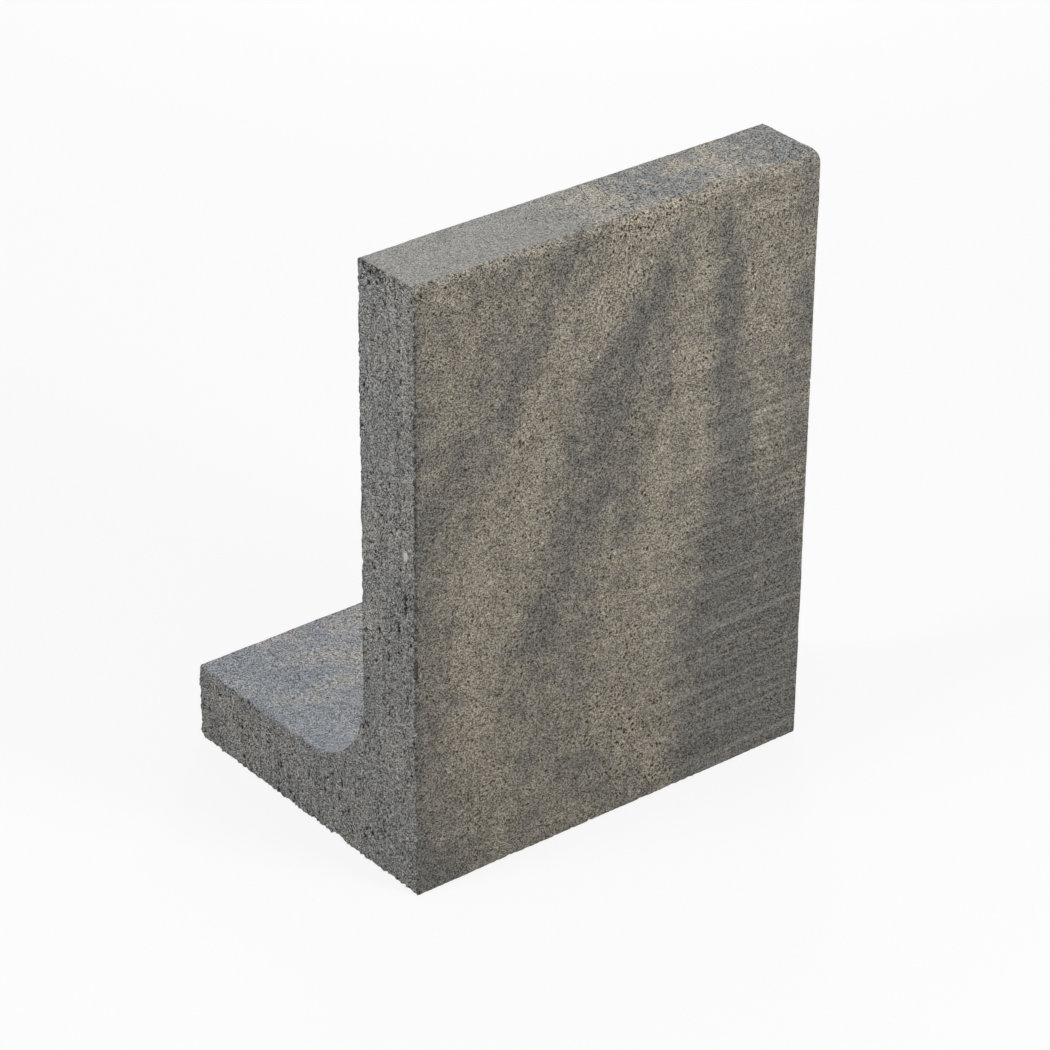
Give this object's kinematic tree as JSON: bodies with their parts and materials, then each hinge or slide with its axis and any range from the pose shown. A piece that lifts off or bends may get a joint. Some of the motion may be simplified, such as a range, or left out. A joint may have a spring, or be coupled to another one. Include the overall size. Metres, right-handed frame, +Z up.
{
  "type": "l-shaped concrete block",
  "caption": "Solid L-shaped concrete block: an upright wall on a foot of the same thickness, for edging beds, low retaining walls and steps.",
  "frame": {"origin": "centre of the block's footprint on the ground", "axes": "+Z up the wall, +X along the row of blocks, +Y from the wall's plain front towards the foot's toe"},
  "size_m": [0.3, 0.225, 0.4],
  "materials": {
    "pressed_concrete": "matt, fine sandy grain, mottled grey and brown"
  },
  "bodies": {
    "root": {"l_block": "pressed_concrete"}
  },
  "joints": []
}
